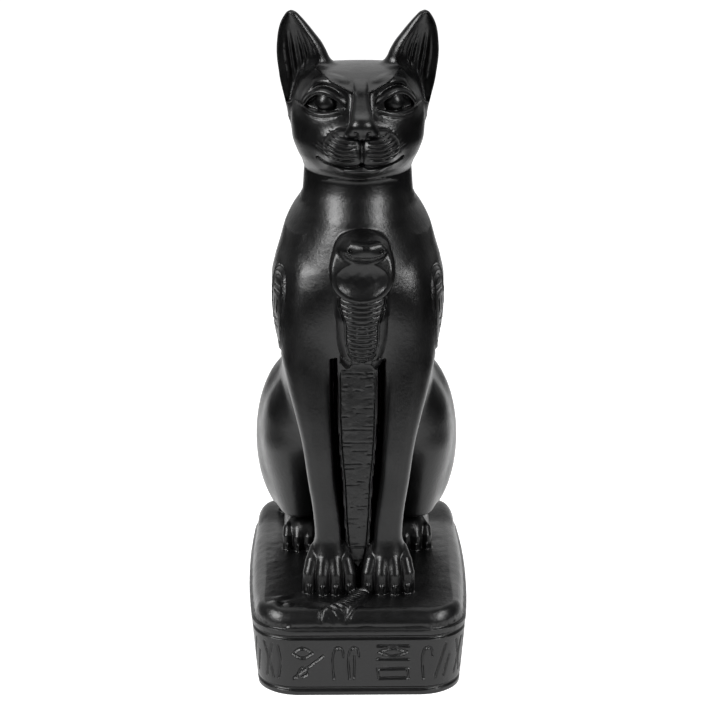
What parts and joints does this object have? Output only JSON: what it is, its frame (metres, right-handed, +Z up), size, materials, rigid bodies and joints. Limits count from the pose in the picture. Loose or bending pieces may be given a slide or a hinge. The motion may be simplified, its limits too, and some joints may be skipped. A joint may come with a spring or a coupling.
{
  "type": "seated cat figure",
  "caption": "Seated cat figure on a cushioned plinth, with a rearing cobra in relief on its chest and an incised band around the plinth.",
  "frame": {"origin": "centre of the plinth's underside", "axes": "+Z up, the cat faces -Y, +X is the cat's left side, which the picture shows at the right"},
  "size_m": [0.1024, 0.1479, 0.3],
  "materials": {
    "black_resin": "black cast resin stone, satin"
  },
  "bodies": {
    "root": {"bastet_cat": "black_resin"}
  },
  "joints": []
}
